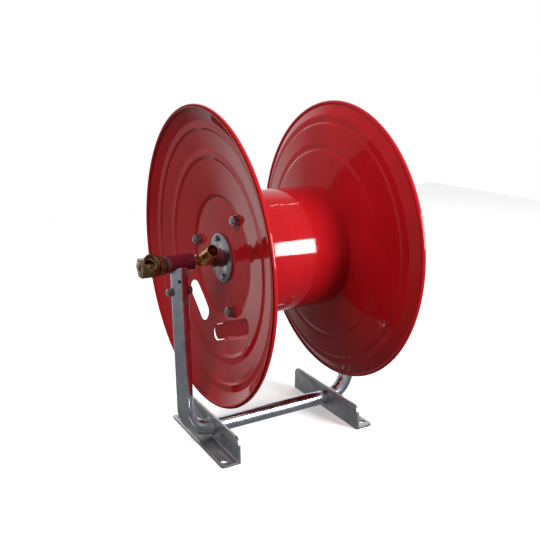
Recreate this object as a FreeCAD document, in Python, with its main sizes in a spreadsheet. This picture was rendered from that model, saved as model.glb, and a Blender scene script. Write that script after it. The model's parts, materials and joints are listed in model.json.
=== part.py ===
import FreeCAD, Part
import math
import os
import Sketcher
from FreeCAD import Placement, Rotation, Vector

# Manual fire hose reel: two pressed discs clamped on a drum, turning in two tee bearings on a
# bent-tube stand with angle-section feet. Water enters a brass swivel at the left end of the axle
# and leaves by a spigot beside the left disc.
#
# X runs along the axle, -Y is the front, Z is up. The origin is on the ground, in the middle of
# the four foot holes. Every length is in millimetres.

doc = FreeCAD.newDocument("hose_reel")

DIMENSIONS = {
    # stand
    "axle_height": 350.0, "tube_radius": 15.0, "tube_wall": 2.0, "post_offset": 181.5,
    "bend_radius": 50.0, "base_height": 24.5, "post_end": 343.0,
    "foot_inner": 127.0, "foot_width": 37.0, "foot_rise": 50.0, "foot_plate": 4.5,
    "foot_length": 231.0, "foot_top_corner": 16.0, "foot_outer_corner": 6.0, "foot_root": 3.0,
    "foot_hole": 7.0, "foot_hole_in": 25.0, "foot_hole_half": 98.0,
    # tee bearings and what clamps them
    "sleeve_half": 24.5, "sleeve_bore": 13.0, "stem_radius": 12.8, "stem_foot": 270.0,
    "bush_outer": 12.95, "bush_length": 16.0, "bush_flange": 14.8, "bush_lip": 1.5,
    "clamp_height": 300.0, "clamp_radius": 4.0, "clamp_gap": 0.2, "clamp_flats": 13.0,
    "clamp_head_thick": 5.3, "clamp_nut_thick": 6.5, "clamp_tail": 2.5, "clamp_washer": 8.0,
    "clamp_washer_thick": 1.6,
    "grub_height": 321.0, "grub_radius": 3.0, "grub_angle": 22.0,
    # discs and drum
    "sheet": 1.5, "hub_face": 98.0, "disc_eye": 15.5, "seat_inner": 108.2, "seat_outer": 111.0,
    "seat_depth": 101.3, "step_one_in": 173.5, "step_one_low": 112.7, "step_one_out": 179.0,
    "step_one_high": 115.7, "ledge_one": 190.5, "ledge_one_depth": 116.6, "step_two_in": 222.5,
    "step_two_low": 123.7, "step_two_out": 226.0, "step_two_high": 126.6, "ledge_two": 238.5,
    "ledge_two_depth": 128.0, "roll_start": 255.0, "roll_depth": 137.2, "rim_start": 257.5,
    "rim_face": 138.8,
    "bead_ring": 261.0, "bead_depth": 139.5, "bead_radius": 4.0,
    "drum_radius": 113.0, "drum_half": 99.85,
    "slot_ring": 134.7, "slot_half": 27.5, "slot_radius": 16.0, "slot_angle": 41.1,
    "lead_ring": 130.4, "lead_half": 60.0, "lead_radius": 15.0, "lead_angle": -20.7,
    "lead_floor": 101.0, "lead_gap": 0.4, "lead_open": 22.0,
    "tie_ring": 98.0, "tie_radius": 5.0, "tie_angle": 51.0, "tie_end": 111.5,
    "tie_washer": 10.0, "tie_washer_thick": 2.0, "tie_nut_flats": 17.0, "tie_nut_thick": 8.0,
    # hubs
    "flange_radius": 43.5, "flange_thick": 4.0, "hub_radius": 15.0, "hub_end": 121.0,
    "hub_screw_ring": 35.0, "hub_screw_radius": 3.0, "hub_screw_angle": 109.0,
    "hub_screw_right": -7.0, "right_turn": 78.0, "hub_head_flats": 10.0,
    "hub_head_thick": 4.0, "hub_nut_thick": 5.0, "hub_tail": 1.5,
    # water way
    "spindle_radius": 11.0, "spindle_bore": 7.0, "spindle_start": 244.0, "spindle_end": 99.0,
    "bore_end": 118.0, "running_gap": 0.05, "outlet_offset": 135.0, "outlet_angle": 31.0,
    "outlet_end": 50.0, "outlet_radius": 11.0, "outlet_bore": 9.0, "outlet_shank": 6.5,
    "outlet_neck_bore": 5.0, "outlet_root": 8.0, "outlet_floor": 18.0, "outlet_chamfer": 0.8,
    "outlet_shoulder": 20.0, "outlet_swell": 12.2, "neck_radius": 8.5, "neck_start": 155.0,
    "neck_end": 148.0,
    "seal_ring": 10.03, "seal_radius": 1.0, "seal_groove": 9.0, "seal_groove_half": 1.3,
    "spindle_port": 3.5, "port_offset": 239.8, "clip_offset": 234.9, "clip_outer": 12.8,
    "clip_groove": 9.6, "clip_half": 0.6,
    "collar_start": 209.5, "collar_end": 220.5, "collar_flats": 30.0, "thrust_radius": 15.0,
    "thrust_thick": 1.2, "plug_groove": 11.5, "plug_groove_half": 1.1, "plug_seal_ring": 12.38,
    "plug_seal_radius": 0.86,
    "swivel_start": 222.0, "swivel_end": 252.0, "swivel_flats": 32.0, "chamber_start": 234.0,
    "chamber_radius": 13.3, "plug_start": 246.0, "plug_gap": 0.05, "plug_socket": 10.0,
    "plug_socket_depth": 4.0, "inlet_offset": 237.5, "inlet_angle": 33.0, "inlet_face": 27.5,
    "inlet_radius": 14.5, "inlet_bore": 12.06, "inlet_floor": 14.0, "inlet_drill": 8.0,
    # right-hand shaft
    "shaft_end": 219.0, "shaft_pin_offset": 213.0, "shaft_pin_radius": 1.6,
    "shaft_pin_half": 17.0, "shaft_washer": 15.0, "shaft_washer_thick": 2.5,
}


def fill_sheet():
    """Put the driving dimensions in the spreadsheet, one named cell each."""
    sheet = doc.addObject("Spreadsheet::Sheet", "dims")
    for row, (alias, number) in enumerate(DIMENSIONS.items(), start=1):
        sheet.set(f"A{row}", alias)
        sheet.set(f"B{row}", str(number))
        sheet.setAlias(f"B{row}", alias)
    doc.recompute()


def bind(item, expressions):
    """Bind each named property of an object to an expression on the sheet."""
    for name, text in expressions.items():
        item.setExpression(name, text)


# ---------------------------------------------------------------- Part primitives

ALONG = {
    "X": Rotation(Vector(0, 1, 0), 90),
    "Z": Rotation(),
}


def centre(item, axis, x, y, z):
    """Stand a primitive along an axis, with its base centre at expressions x, y and z."""
    item.Placement = Placement(Vector(), ALONG[axis])
    bind(item, {"Placement.Base.x": x, "Placement.Base.y": y, "Placement.Base.z": z})
    return item


def cylinder(name, radius, height, x="0", y="0", z="dims.axle_height", axis="X"):
    item = doc.addObject("Part::Cylinder", name)
    bind(item, {"Radius": radius, "Height": height})
    return centre(item, axis, x, y, z)


def hexagon(name, across_flats, height, x="0", y="0", z="dims.axle_height"):
    """Hexagonal bar along X."""
    item = doc.addObject("Part::Prism", name)
    item.Polygon = 6
    bind(item, {"Circumradius": f"{across_flats} / 2 / cos(30)", "Height": height})
    return centre(item, "X", x, y, z)


def cut(name, base, tool):
    item = doc.addObject("Part::Cut", name)
    item.Base, item.Tool = base, tool
    return item


def fuse(name, *parts):
    item = doc.addObject("Part::MultiFuse", name)
    item.Shapes = list(parts)
    return item


def group(label, parts):
    """Identical loose pieces that share one node."""
    item = doc.addObject("Part::Compound", label)
    item.Links = parts
    return item


def mirrored(item):
    """The same piece on the other side of the reel's middle plane."""
    other = doc.addObject("Part::Mirroring", f"{item.Name}_mirrored")
    other.Source = item
    other.Normal = Vector(1, 0, 0)
    return other


def ring(name, outer, inner, height, x, y="0", z="dims.axle_height"):
    """Washer or tube along X that starts at x."""
    bore = cylinder(f"{name}_bore", inner, f"{height} + 2", f"{x} - 1", y, z)
    return cut(name, cylinder(f"{name}_blank", outer, height, x, y, z), bore)


def nut(name, across_flats, inner, height, x, y="0", z="dims.axle_height"):
    """Hexagon nut along X that starts at x."""
    bore = cylinder(f"{name}_bore", inner, f"{height} + 2", f"{x} - 1", y, z)
    return cut(name, hexagon(f"{name}_blank", across_flats, height, x, y, z), bore)


# ---------------------------------------------------------------- PartDesign helpers

def new_body(label):
    return doc.addObject("PartDesign::Body", label)


def new_sketch(body, name, role, offset=None, turn=None):
    """Sketch on one of the body's own planes, moved along and turned about its normal."""
    sketch = body.newObject("Sketcher::SketchObject", name)
    plane = next(item for item in body.Origin.OriginFeatures if item.Role == role)
    sketch.AttachmentSupport = [(plane, "")]
    sketch.MapMode = "FlatFace"
    if offset:
        bind(sketch, {"AttachmentOffset.Base.z": offset})
    if turn:
        sketch.AttachmentOffset = Placement(Vector(), Rotation(Vector(0, 0, 1), 10))
        bind(sketch, {"AttachmentOffset.Rotation.Angle": turn})
    return sketch


def pin_point(sketch, geometry, vertex, guess, place):
    """Fix a sketch point at a pair of expressions, measured from the sketch's origin."""
    axes = (("DistanceX", -2), ("DistanceY", -1))
    for (kind, axis), start, text in zip(axes, guess, place):
        if text == "0":
            sketch.addConstraint(Sketcher.Constraint("PointOnObject", geometry, vertex, axis))
            continue
        rule = Sketcher.Constraint(kind, -1, 1, geometry, vertex, start)
        number = sketch.addConstraint(rule)
        sketch.setExpression(f"Constraints[{number}]", text)


def outline(sketch, places):
    """Closed outline of straight lines through pairs of expressions."""
    count = len(places)
    turns = [2 * math.pi * step / count for step in range(count)]
    guesses = [(40 * math.cos(turn) + 60, 40 * math.sin(turn) + 60) for turn in turns]
    for step in range(count):
        start, end = guesses[step], guesses[(step + 1) % count]
        sketch.addGeometry(Part.LineSegment(Vector(*start, 0), Vector(*end, 0)))
    for step in range(count):
        join = Sketcher.Constraint("Coincident", step, 2, (step + 1) % count, 1)
        sketch.addConstraint(join)
    for step, place in enumerate(places):
        pin_point(sketch, step, 1, guesses[step], place)


def circle(sketch, radius, x="0", y="0"):
    guess = (30.0, 30.0)
    number = sketch.addGeometry(Part.Circle(Vector(*guess, 0), Vector(0, 0, 1), 5.0))
    rule = sketch.addConstraint(Sketcher.Constraint("Radius", number, 5.0))
    sketch.setExpression(f"Constraints[{rule}]", radius)
    pin_point(sketch, number, 3, guess, (x, y))


def obround(sketch, half, radius, ring_radius):
    """Slot across the sketch's Y axis, its middle ring_radius below the origin."""
    centre_y = -60.0
    guess_half, guess_radius = 30.0, 10.0
    for side, start in ((1, -90), (-1, 90)):
        middle = Vector(side * guess_half, centre_y, 0)
        round_end = Part.Circle(middle, Vector(0, 0, 1), guess_radius)
        arc = Part.ArcOfCircle(round_end, math.radians(start), math.radians(start + 180))
        sketch.addGeometry(arc)
    for height in (guess_radius, -guess_radius):
        ends = [Vector(side * guess_half, centre_y + height, 0) for side in (1, -1)]
        sketch.addGeometry(Part.LineSegment(*ends))
    right, left, top, bottom = range(4)
    for arc, arc_end, line, line_end in (
        (right, 2, top, 1), (right, 1, bottom, 1), (left, 1, top, 2), (left, 2, bottom, 2),
    ):
        sketch.addConstraint(Sketcher.Constraint("Tangent", arc, arc_end, line, line_end))
    sketch.addConstraint(Sketcher.Constraint("Equal", right, left))
    rule = sketch.addConstraint(Sketcher.Constraint("Radius", right, guess_radius))
    sketch.setExpression(f"Constraints[{rule}]", radius)
    pin_point(sketch, right, 3, (guess_half, centre_y), (half, f"-{ring_radius}"))
    pin_point(sketch, left, 3, (-guess_half, centre_y), (f"-{half}", f"-{ring_radius}"))


def feature(body, kind, name, sketch, properties=None, expressions=None):
    """Sketch-based feature of a body, which becomes its tip."""
    item = body.newObject(f"PartDesign::{kind}", name)
    item.Profile = sketch
    sketch.Visibility = False
    for key, value in (properties or {}).items():
        setattr(item, key, value)
    bind(item, expressions or {})
    body.Tip = item
    return item


def repeat(body, name, original, count, sketch):
    """Repeat a feature evenly round the sketch's normal."""
    item = body.newObject("PartDesign::PolarPattern", name)
    item.Originals = [original]
    item.Axis = (sketch, ["N_Axis"])
    item.Angle = 360.0
    item.Occurrences = count
    body.Tip = item


def straight_edges(shape, direction, test):
    """Names of the straight edges along a direction whose middle passes a test."""
    names = []
    for number, edge in enumerate(shape.Edges, start=1):
        if edge.Curve.TypeId != "Part::GeomLine":
            continue
        along = (edge.Vertexes[1].Point - edge.Vertexes[0].Point).normalize()
        if abs(along.dot(direction)) > 0.999 and test(edge.CenterOfMass):
            names.append(f"Edge{number}")
    return names


def lift(body, turn=Rotation()):
    """Move a body that is modelled about the axle up to the axle's height."""
    body.Placement = Placement(Vector(), turn)
    bind(body, {"Placement.Base.z": "dims.axle_height"})
    return body


# ---------------------------------------------------------------- stand

def frame_tube():
    """One round tube bent into a U, with its ends hollowed to cradle the bearing sleeves."""
    body = new_body("frame_tube")
    offset, height = DIMENSIONS["post_offset"], DIMENSIONS["base_height"]
    bend, top = DIMENSIONS["bend_radius"], DIMENSIONS["post_end"]
    spine = new_sketch(body, "tube_path", "XZ_Plane")
    inner = offset - bend
    low = height + bend
    corners = [
        (-offset, top), (-offset, low), (-inner, height), (inner, height), (offset, low), (offset, top),
    ]
    post, base, other = ((corners[n], corners[n + 1]) for n in (0, 2, 4))
    for start, end in (post, base, other):
        spine.addGeometry(Part.LineSegment(Vector(*start, 0), Vector(*end, 0)))
    for side, start in ((-1, 180), (1, 270)):
        round_bend = Part.Circle(Vector(side * inner, low, 0), Vector(0, 0, 1), bend)
        arc = Part.ArcOfCircle(round_bend, math.radians(start), math.radians(start + 90))
        spine.addGeometry(arc)
    for line, end, arc, arc_end in ((0, 2, 3, 1), (1, 1, 3, 2), (1, 2, 4, 1), (2, 1, 4, 2)):
        spine.addConstraint(Sketcher.Constraint("Coincident", line, end, arc, arc_end))
    places = [
        ("-dims.post_offset", "dims.post_end"),
        ("-dims.post_offset", "dims.base_height + dims.bend_radius"),
        ("dims.bend_radius - dims.post_offset", "dims.base_height"),
        ("dims.post_offset - dims.bend_radius", "dims.base_height"),
        ("dims.post_offset", "dims.base_height + dims.bend_radius"),
        ("dims.post_offset", "dims.post_end"),
    ]
    for number, place in enumerate(places):
        pin_point(spine, number // 2, number % 2 + 1, corners[number], place)
    for arc in (3, 4):
        rule = spine.addConstraint(Sketcher.Constraint("Radius", arc, bend))
        spine.setExpression(f"Constraints[{rule}]", "dims.bend_radius")
    section = new_sketch(body, "tube_section", "XY_Plane", offset="dims.post_end")
    circle(section, "dims.tube_radius", x="-dims.post_offset")
    circle(section, "dims.tube_radius - dims.tube_wall", x="-dims.post_offset")
    doc.recompute()
    pipe = feature(body, "AdditivePipe", "bent_tube", section)
    pipe.Spine = (spine, [f"Edge{number}" for number in (1, 4, 2, 5, 3)])
    across = {"Type": "ThroughAll", "Midplane": True}
    cradle = new_sketch(body, "cradle_circle", "YZ_Plane")
    circle(cradle, "dims.tube_radius", y="dims.axle_height")
    feature(body, "Pocket", "cradles", cradle, across)
    bolt = new_sketch(body, "clamp_circle", "YZ_Plane")
    circle(bolt, "dims.clamp_radius + dims.clamp_gap", y="dims.clamp_height")
    feature(body, "Pocket", "clamp_holes", bolt, across)
    hole = grub("tapped_hole", "dims.tube_wall + 3")
    return cut("frame_tube_tapped", body, group("tapped_holes", [hole, mirrored(hole)]))


def grub(name, length):
    """Stubby cylinder that points into the right post from the front, at an angle outward."""
    item = doc.addObject("Part::Cylinder", name)
    bind(item, {"Radius": "dims.grub_radius", "Height": length})
    lean = Rotation(Vector(0, 0, 1), DIMENSIONS["grub_angle"])
    item.Placement = Placement(Vector(), lean.multiply(Rotation(Vector(1, 0, 0), -90)))
    reach = "(dims.tube_radius + 1)"
    bind(item, {
        "Placement.Base.x": f"dims.post_offset + {reach} * sin(dims.grub_angle)",
        "Placement.Base.y": f"-{reach} * cos(dims.grub_angle)",
        "Placement.Base.z": "dims.grub_height",
    })
    return item


def foot(label, side):
    """Angle-section foot: the flat leg points outward, and the tube passes through the upright leg."""
    body = new_body(label)
    angle = new_sketch(body, "angle_section", "XZ_Plane")
    inner, outer = "dims.foot_inner", "(dims.foot_inner + dims.foot_width)"
    web = "(dims.foot_inner + dims.foot_plate)"
    sign = "-" if side < 0 else ""
    outline(angle, [
        (f"{sign}{inner}", "0"), (f"{sign}{outer}", "0"), (f"{sign}{outer}", "dims.foot_plate"),
        (f"{sign}{web}", "dims.foot_plate"), (f"{sign}{web}", "dims.foot_rise"),
        (f"{sign}{inner}", "dims.foot_rise"),
    ])
    feature(body, "Pad", "angle", angle, {"Midplane": True}, {"Length": "dims.foot_length"})
    tube = new_sketch(body, "tube_circle", "YZ_Plane")
    circle(tube, "dims.tube_radius + 0.3", y="dims.base_height")
    feature(body, "Pocket", "tube_hole", tube, {"Type": "ThroughAll", "Midplane": True})
    screw = new_sketch(body, "screw_circles", "XY_Plane")
    for end in ("", "-"):
        place = f"{sign}(dims.foot_inner + dims.foot_hole_in)"
        circle(screw, "dims.foot_hole", x=place, y=f"{end}dims.foot_hole_half")
    drill = {"Type": "Length", "Length": DIMENSIONS["foot_plate"] + 1, "Reversed": True}
    feature(body, "Pocket", "screw_holes", screw, drill)
    doc.recompute()
    half = DIMENSIONS["foot_length"] / 2
    rise, edge = DIMENSIONS["foot_rise"], DIMENSIONS["foot_inner"] + DIMENSIONS["foot_width"]
    plate, web_x = DIMENSIONS["foot_plate"], DIMENSIONS["foot_inner"] + DIMENSIONS["foot_plate"]
    rounding(body, "top_corners", "dims.foot_top_corner", Vector(1, 0, 0),
             lambda point: abs(point.z - rise) < 0.1 and abs(abs(point.y) - half) < 0.1)
    rounding(body, "outer_corners", "dims.foot_outer_corner", Vector(0, 0, 1),
             lambda point: abs(abs(point.x) - edge) < 0.1)
    rounding(body, "root", "dims.foot_root", Vector(0, 1, 0),
             lambda point: abs(point.z - plate) < 0.1 and abs(abs(point.x) - web_x) < 0.1)
    return body


def rounding(body, name, radius, direction, test):
    """Fillet the straight edges of the body's tip that lie along a direction and pass a test."""
    base = body.Tip
    item = body.newObject("PartDesign::Fillet", name)
    item.Base = (base, straight_edges(base.Shape, direction, test))
    bind(item, {"Radius": radius})
    body.Tip = item
    doc.recompute()


def bearing_tee():
    """Right-hand bearing sleeve along the axle, with a stem that plugs into the post."""
    sleeve = cylinder("tee_sleeve", "dims.tube_radius", "2 * dims.sleeve_half",
                      "dims.post_offset - dims.sleeve_half")
    stem = cylinder("tee_stem", "dims.stem_radius", "dims.axle_height - dims.stem_foot",
                    "dims.post_offset", z="dims.stem_foot", axis="Z")
    bore = cylinder("tee_bore", "dims.sleeve_bore", "2 * dims.sleeve_half + 2",
                    "dims.post_offset - dims.sleeve_half - 1")
    hole = cylinder("tee_hole", "dims.clamp_radius + dims.clamp_gap", "2 * dims.tube_radius",
                    "dims.post_offset - dims.tube_radius", z="dims.clamp_height")
    return cut("right_bearing_tee", fuse("tee_blank", sleeve, stem), fuse("tee_bores", bore, hole))


def axle_bushes():
    """Two flanged plastic bushes, pressed into the ends of the right-hand bearing sleeve."""
    inner = "dims.spindle_radius + dims.running_gap"
    bushes = []
    for end, mouth, start, lip in (
        ("outer", "dims.post_offset + dims.sleeve_half", "-dims.bush_length", "0"),
        ("inner", "dims.post_offset - dims.sleeve_half", "0", "-dims.bush_lip"),
    ):
        name = f"bush_{end}"
        barrel = cylinder(f"{name}_barrel", "dims.bush_outer", "dims.bush_length",
                          f"{mouth} + {start}")
        rim = cylinder(f"{name}_rim", "dims.bush_flange", "dims.bush_lip", f"{mouth} + {lip}")
        bore = cylinder(f"{name}_bore", inner, "2 * dims.bush_length + 4",
                        f"{mouth} - dims.bush_length - 2")
        bushes.append(cut(name, fuse(f"{name}_blank", barrel, rim), bore))
    return bushes


def clamp_parts():
    """Bolt through the right-hand post and tee stem, with its nut outside and two washers."""
    place = {"z": "dims.clamp_height"}
    inner = "(dims.post_offset - dims.tube_radius - dims.clamp_washer_thick)"
    outer = "(dims.post_offset + dims.tube_radius + dims.clamp_washer_thick)"
    grip = "2 * (dims.tube_radius + dims.clamp_washer_thick)"
    shank = cylinder("clamp_shank", "dims.clamp_radius",
                     f"{grip} + dims.clamp_nut_thick + dims.clamp_tail", inner, **place)
    head = hexagon("clamp_head", "dims.clamp_flats", "dims.clamp_head_thick",
                   f"{inner} - dims.clamp_head_thick", **place)
    bolt = fuse("clamp_bolt", shank, head)
    clamp_nut = nut("clamp_nut", "dims.clamp_flats", "dims.clamp_radius", "dims.clamp_nut_thick",
                    outer, **place)
    washers = [
        ring(f"clamp_washer_{name}", "dims.clamp_washer", "dims.clamp_radius + dims.clamp_gap",
             "dims.clamp_washer_thick", start, **place)
        for name, start in (("inner", inner), ("outer", f"{outer} - dims.clamp_washer_thick"))
    ]
    return bolt, clamp_nut, washers


# ---------------------------------------------------------------- reel

def on_ring(ring_radius, angle, level="dims.axle_height"):
    """Expressions for Y and Z of a point on a ring about the axle, by its angle above the front."""
    return f"-{ring_radius} * cos({angle})", f"{level} + {ring_radius} * sin({angle})"


def disc(name):
    """Pressed disc with its hollow side toward -X, modelled about the axle at Z = 0."""
    body = new_body(name)
    pressed_lead(body)
    profile = new_sketch(body, "sheet_profile", "XZ_Plane")
    radii = ["disc_eye", "seat_inner", "seat_outer", "step_one_in", "step_one_out", "ledge_one",
             "step_two_in", "step_two_out", "ledge_two", "roll_start", "rim_start"]
    depths = ["hub_face", "hub_face", "seat_depth", "step_one_low", "step_one_high",
              "ledge_one_depth", "step_two_low", "step_two_high", "ledge_two_depth", "roll_depth",
              "rim_face"]
    face = [(f"-dims.{depth}", f"dims.{radius}") for radius, depth in zip(radii, depths)]
    back = [(f"{x} + dims.sheet", radius) for x, radius in reversed(face)]
    outline(profile, face + back)
    turned(body, "Revolution", "pressed_sheet", profile)
    bead = new_sketch(body, "bead_circle", "XZ_Plane")
    circle(bead, "dims.bead_radius", x="-dims.bead_depth", y="dims.bead_ring")
    turned(body, "Revolution", "rolled_rim", bead)
    open_lead(body, face)
    through = {"Type": "ThroughAll"}
    slot = new_sketch(body, "slot_outline", "YZ_Plane", turn="dims.slot_angle")
    obround(slot, "dims.slot_half", "dims.slot_radius", "dims.slot_ring")
    feature(body, "Pocket", "hose_slot", slot, through)
    for kind, count in (("tie", 3), ("hub_screw", 2)):
        hole = new_sketch(body, f"{kind}_circle", "YZ_Plane")
        across, up = on_ring(f"dims.{kind}_ring", f"dims.{kind}_angle", level="0")
        circle(hole, f"dims.{kind}_radius + 0.2", x=across, y=up)
        first = feature(body, "Pocket", f"{kind}_hole", hole, through)
        repeat(body, f"{kind}_holes", first, count, hole)
    return body


def turned(body, kind, name, sketch, axis="H_Axis"):
    """Profile turned a full circle, about the axle unless another sketch axis is named."""
    feature(body, kind, name, sketch, {"ReferenceAxis": (sketch, [axis]), "Angle": 360.0})


def pressed_lead(body):
    """Cup and free tongue of the hose lead-in, before the sheet is laid over them."""
    plane = {"role": "YZ_Plane", "turn": "dims.lead_angle"}
    block = new_sketch(body, "lead_block", offset="-dims.step_one_low", **plane)
    obround(block, "dims.lead_half", "dims.lead_radius + dims.sheet", "dims.lead_ring")
    feature(body, "Pad", "lead_cup", block,
            expressions={"Length": "dims.step_one_low - dims.lead_floor + dims.sheet"})
    mouth = new_sketch(body, "lead_mouth", **plane)
    start = "dims.lead_half - dims.lead_open"
    end = "dims.lead_half + 2 * dims.lead_radius"
    far, near = "-dims.lead_ring - 2 * dims.lead_radius", "-dims.lead_ring + 2 * dims.lead_radius"
    outline(mouth, [(start, far), (end, far), (end, near), (start, near)])
    feature(body, "Pocket", "lead_opening", mouth, {"Type": "ThroughAll"})
    tongue = new_sketch(body, "lead_tongue", offset="-dims.lead_floor", **plane)
    obround(tongue, "dims.lead_half", "dims.lead_radius - dims.lead_gap", "dims.lead_ring")
    feature(body, "Pad", "tongue", tongue, expressions={"Length": "dims.sheet"})


def open_lead(body, face):
    """Open the sheet down to the tongue, and trim the cup flush with the sheet's outer face."""
    gap = new_sketch(body, "lead_gap", "YZ_Plane", offset="-dims.lead_floor",
                     turn="dims.lead_angle")
    obround(gap, "dims.lead_half", "dims.lead_radius", "dims.lead_ring")
    feature(body, "Pocket", "lead_mouth_cut", gap, {"Type": "ThroughAll"})
    outside = new_sketch(body, "trim_profile", "XZ_Plane")
    clear = "-dims.step_one_high - 4"
    outline(outside, [(clear, face[1][1]), *face[1:5], (clear, face[4][1])])
    turned(body, "Groove", "trim", outside)


def drum_shell():
    body = new_body("drum_body")
    wall = new_sketch(body, "drum_section", "YZ_Plane")
    circle(wall, "dims.drum_radius")
    circle(wall, "dims.drum_radius - dims.sheet")
    feature(body, "Pad", "drum_wall", wall, {"Midplane": True}, {"Length": "2 * dims.drum_half"})
    return lift(body)


def hub_flange(name):
    """Round flange with a hub tube, toward -X, modelled about the axle at Z = 0."""
    body = new_body(name)
    start = "-dims.hub_face - dims.flange_thick"
    plate = new_sketch(body, "flange_circle", "YZ_Plane", offset=start)
    circle(plate, "dims.flange_radius")
    feature(body, "Pad", "flange", plate, expressions={"Length": "dims.flange_thick"})
    tube = new_sketch(body, "hub_circle", "YZ_Plane", offset="-dims.hub_end")
    circle(tube, "dims.hub_radius")
    feature(body, "Pad", "hub", tube, expressions={"Length": "dims.hub_end - dims.hub_face"})
    bore = new_sketch(body, "bore_circle", "YZ_Plane")
    circle(bore, "dims.spindle_radius")
    feature(body, "Pocket", "bore", bore, {"Type": "ThroughAll"})
    hole = new_sketch(body, "screw_circle", "YZ_Plane")
    across, up = on_ring("dims.hub_screw_ring", "dims.hub_screw_angle", level="0")
    circle(hole, "dims.hub_screw_radius + 0.2", x=across, y=up)
    first = feature(body, "Pocket", "screw_hole", hole, {"Type": "ThroughAll"})
    repeat(body, "screw_holes", first, 2, hole)
    return body


def tie_parts():
    """Three studs that clamp the discs on the drum, with a nut and a washer at each end."""
    studs, nuts, washers = [], [], []
    for number in range(3):
        across, up = on_ring("dims.tie_ring", f"(dims.tie_angle + {120 * number})")
        place = {"y": across, "z": up}
        studs.append(cylinder(f"tie_stud_{number}", "dims.tie_radius", "2 * dims.tie_end",
                              "-dims.tie_end", **place))
        tie_nut = nut(f"tie_nut_{number}", "dims.tie_nut_flats", "dims.tie_radius",
                      "dims.tie_nut_thick", "dims.hub_face + dims.tie_washer_thick", **place)
        washer = ring(f"tie_washer_{number}", "dims.tie_washer", "dims.tie_radius + 0.2",
                      "dims.tie_washer_thick", "dims.hub_face", **place)
        nuts += [tie_nut, mirrored(tie_nut)]
        washers += [washer, mirrored(washer)]
    return studs, nuts, washers


def hub_screws(side, first_angle):
    """Two hexagon screws through a hub flange and its disc, with nuts inside the drum."""
    screws, nuts = [], []
    for number in range(2):
        across, up = on_ring("dims.hub_screw_ring", f"({first_angle} + {180 * number})")
        place = {"y": across, "z": up}
        name = f"hub_screw_{side}_{number}"
        head_face = "dims.hub_face + dims.flange_thick"
        inner_face = "dims.hub_face - dims.sheet"
        tip = f"{inner_face} - dims.hub_nut_thick - dims.hub_tail"
        shank = cylinder(f"{name}_shank", "dims.hub_screw_radius", f"{head_face} - ({tip})", tip,
                         **place)
        head = hexagon(f"{name}_head", "dims.hub_head_flats", "dims.hub_head_thick", head_face,
                       **place)
        screws.append(fuse(name, shank, head))
        nuts.append(nut(f"{name}_nut", "dims.hub_head_flats", "dims.hub_screw_radius",
                        "dims.hub_nut_thick", f"{inner_face} - dims.hub_nut_thick", **place))
    return screws, nuts


# ---------------------------------------------------------------- water way

def radial(name, radius, start, length, x, angle):
    """Cylinder that points away from the axle at an angle above the front."""
    item = doc.addObject("Part::Cylinder", name)
    item.Placement = Placement(Vector(), Rotation(Vector(1, 0, 0), 80))
    across, up = on_ring(f"({start})", angle)
    bind(item, {
        "Radius": radius, "Height": length, "Placement.Rotation.Angle": f"90 - {angle}",
        "Placement.Base.x": x, "Placement.Base.y": across, "Placement.Base.z": up,
    })
    return item


def torus(name, ring_radius, radius, x):
    item = doc.addObject("Part::Torus", name)
    bind(item, {"Radius1": ring_radius, "Radius2": radius})
    return centre(item, "X", x, "0", "dims.axle_height")


SEAL_PLACES = ("-dims.swivel_start - 4", "-dims.swivel_start - 8.5")
PLUG_SEAL_PLACE = "-(dims.swivel_end + dims.plug_start) / 2"


def spindle():
    """Hollow spindle that carries the water from the swivel to the outlet."""
    blank = cylinder("spindle_blank", "dims.spindle_radius",
                     "dims.spindle_start - dims.spindle_end", "-dims.spindle_start")
    bore = cylinder("spindle_bore", "dims.spindle_bore", "dims.spindle_start - dims.bore_end + 1",
                    "-dims.spindle_start - 1")
    outlet = radial("spindle_outlet", "dims.outlet_shank", "0", "dims.spindle_radius + 1",
                    "-dims.outlet_offset", "dims.outlet_angle")
    ports = [
        radial(f"spindle_port_{number}", "dims.spindle_port", "-dims.spindle_radius - 1",
               "2 * dims.spindle_radius + 2", "-dims.port_offset", f"(45 + {90 * number})")
        for number in range(2)
    ]
    grooves = [
        ring(f"seal_groove_{number}", "dims.spindle_radius + 1", "dims.seal_groove",
             "2 * dims.seal_groove_half", f"{place} - dims.seal_groove_half")
        for number, place in enumerate(SEAL_PLACES)
    ]
    grooves.append(ring("clip_groove", "dims.spindle_radius + 1", "dims.clip_groove",
                        "2 * dims.clip_half", "-dims.clip_offset - dims.clip_half"))
    grooves.append(ring("spindle_neck", "dims.spindle_radius + 1", "dims.neck_radius",
                        "dims.neck_start - dims.neck_end", "-dims.neck_start"))
    return cut("spindle_cut", blank, fuse("spindle_cuts", bore, outlet, *ports, *grooves))


def spindle_clip():
    """Open retaining ring that holds the swivel on the spindle."""
    closed = ring("clip_ring", "dims.clip_outer", "dims.clip_groove", "2 * dims.clip_half",
                  "-dims.clip_offset - dims.clip_half")
    opening = radial("clip_gap", "dims.clip_half * 3", "0", "dims.clip_outer + 2",
                     "-dims.clip_offset", "(-90)")
    return cut("clip", closed, opening)


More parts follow.
